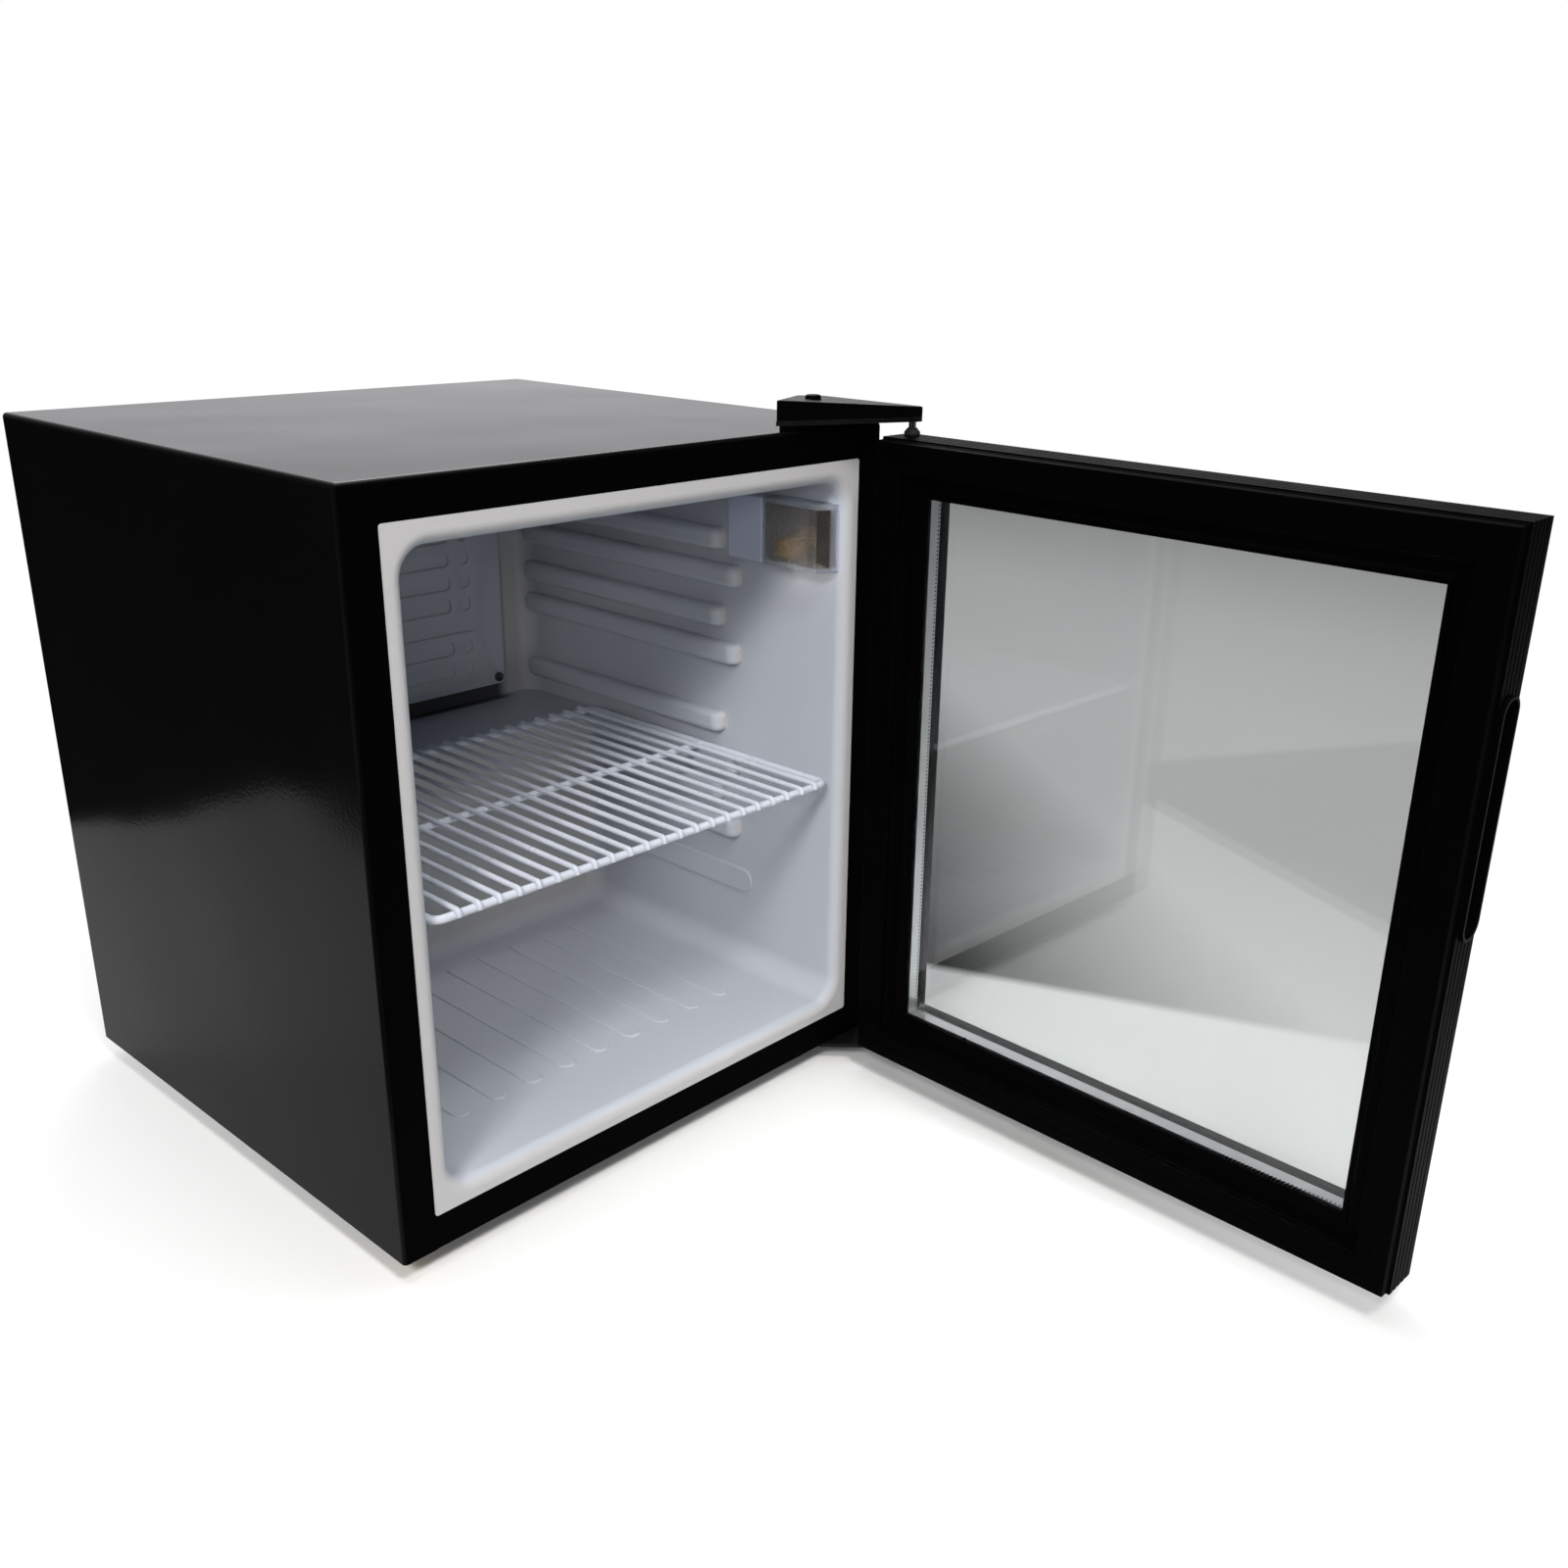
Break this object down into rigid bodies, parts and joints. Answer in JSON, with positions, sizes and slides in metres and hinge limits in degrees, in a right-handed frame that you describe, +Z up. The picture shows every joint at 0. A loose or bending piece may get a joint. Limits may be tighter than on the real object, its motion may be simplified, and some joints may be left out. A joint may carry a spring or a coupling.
{
  "type": "countertop fridge",
  "caption": "Countertop fridge: black sheet cabinet, white ribbed liner, sliding wire shelf, lamp, cold plate, hinged glass door with edge grip, rear compressor and condenser.",
  "frame": {"origin": "on the counter, under the middle of the cabinet's width and depth", "axes": "+X to the fridge's right seen from the front, +Y to its back, +Z up; the door is stored open"},
  "size_m": [0.43, 0.8919, 0.5103],
  "materials": {
    "black_paint": "satin black coil-coated sheet",
    "black_bracket": "black powder coat",
    "zinc_sheet": "galvanised sheet",
    "white_liner": "semi-gloss white",
    "foam": "rigid foam",
    "white_coat": "white coated aluminium",
    "white_plastic": "moulded, satin",
    "dark_screw": "dark plated",
    "zinc_screw": "zinc plated",
    "grey_tube": "moulded",
    "clear_lens": "ribbed, clear",
    "amber_bulb": "amber tinted",
    "dark_socket": "moulded",
    "white_wire": "white dip coat",
    "black_frame": "extruded, satin",
    "black_gasket": "soft, matte",
    "magnet_strip": "ferrite filled",
    "door_glass": "clear float glass",
    "spacer_bar": "perforated",
    "black_sealant": "matte",
    "gloss_black": "moulded, glossy",
    "black_bush": "moulded",
    "bright_pin": "turned",
    "black_foot": "moulded",
    "black_enamel": "gloss enamel",
    "pump_iron": "machined casting",
    "mount_rubber": "matte",
    "dark_cover": "moulded",
    "pan_plastic": "moulded",
    "copper_line": "drawn copper",
    "control_grey": "moulded",
    "inlet_rubber": "soft",
    "knob_plastic": "moulded",
    "rocker_plastic": "moulded"
  },
  "bodies": {
    "cabinet": {"outer_wrapper": "black_paint", "front_bottom_rail": "black_paint", "base_pan": "zinc_sheet", "bay_panel": "zinc_sheet", "back_panel": "zinc_sheet", "inner_liner": "white_liner", "insulation_foam": "foam", "evaporator_plate": "white_coat", "evaporator_standoffs": "white_plastic", "evaporator_screws": "dark_screw", "drain_tube": "grey_tube", "lamp_housing": "white_plastic", "lamp_lens": "clear_lens", "lamp_holder": "dark_socket", "lamp_bulb": "amber_bulb", "top_hinge_bracket": "black_bracket", "top_hinge_cover": "gloss_black", "top_hinge_cap": "gloss_black", "top_hinge_pin": "bright_pin", "top_hinge_screws": "dark_screw", "bottom_hinge_bracket": "black_bracket", "bottom_hinge_pin": "bright_pin", "bottom_hinge_screws": "dark_screw", "rear_feet": "black_foot", "carrier_plate": "zinc_sheet", "compressor_lower_shell": "black_enamel", "compressor_upper_shell": "black_enamel", "compressor_pump": "pump_iron", "compressor_grommets": "mount_rubber", "compressor_bolts": "zinc_screw", "relay_cover": "dark_cover", "evaporation_pan": "pan_plastic", "condenser_tube": "black_enamel", "condenser_wires": "black_enamel", "condenser_clips": "dark_cover", "condenser_screws": "zinc_screw", "filter_drier": "copper_line", "capillary_tube": "copper_line", "suction_line": "copper_line", "discharge_line": "copper_line", "control_box": "control_grey", "cord_inlet": "inlet_rubber"},
    "door": {"door_frame_top": "black_frame", "door_frame_bottom": "black_frame", "door_frame_hinge_side": "black_frame", "door_frame_handle_side": "black_frame", "door_gasket": "black_gasket", "gasket_magnets": "magnet_strip", "glass_inner": "door_glass", "glass_outer": "door_glass", "glass_spacer": "spacer_bar", "glass_sealant": "black_sealant", "door_handle": "gloss_black", "hinge_bushes": "black_bush"},
    "shelf": {"wire_shelf": "white_wire"},
    "knob": {"thermostat_knob": "knob_plastic"},
    "rocker": {"lamp_switch": "rocker_plastic"},
    "left_foot": {"front_left_foot": "black_foot"},
    "right_foot": {"front_right_foot": "black_foot"}
  },
  "joints": [
    {"name": "door_hinge", "type": "hinge", "parent": "cabinet", "child": "door", "pos_m": [0.208, -0.238, 0.25], "axis": [0, 0, 1], "range_deg": [-88.5, 41.5]},
    {"name": "shelf_slide", "type": "slide", "parent": "cabinet", "child": "shelf", "axis": [0, -1, 0], "range_m": [0, 0.2]},
    {"name": "thermostat_turn", "type": "hinge", "parent": "cabinet", "child": "knob", "pos_m": [0.147, 0.204, 0.11], "axis": [0, 1, 0], "range_deg": [0, 280]},
    {"name": "lamp_switch_rock", "type": "hinge", "parent": "cabinet", "child": "rocker", "pos_m": [0.188, 0.2, 0.11], "axis": [1, 0, 0], "range_deg": [0, 16]},
    {"name": "left_foot_screw", "type": "hinge", "parent": "cabinet", "child": "left_foot", "pos_m": [-0.18, -0.13, 0], "axis": [0, 0, 1], "continuous": true},
    {"name": "right_foot_screw", "type": "hinge", "parent": "cabinet", "child": "right_foot", "pos_m": [0.18, -0.13, 0], "axis": [0, 0, 1], "continuous": true}
  ]
}
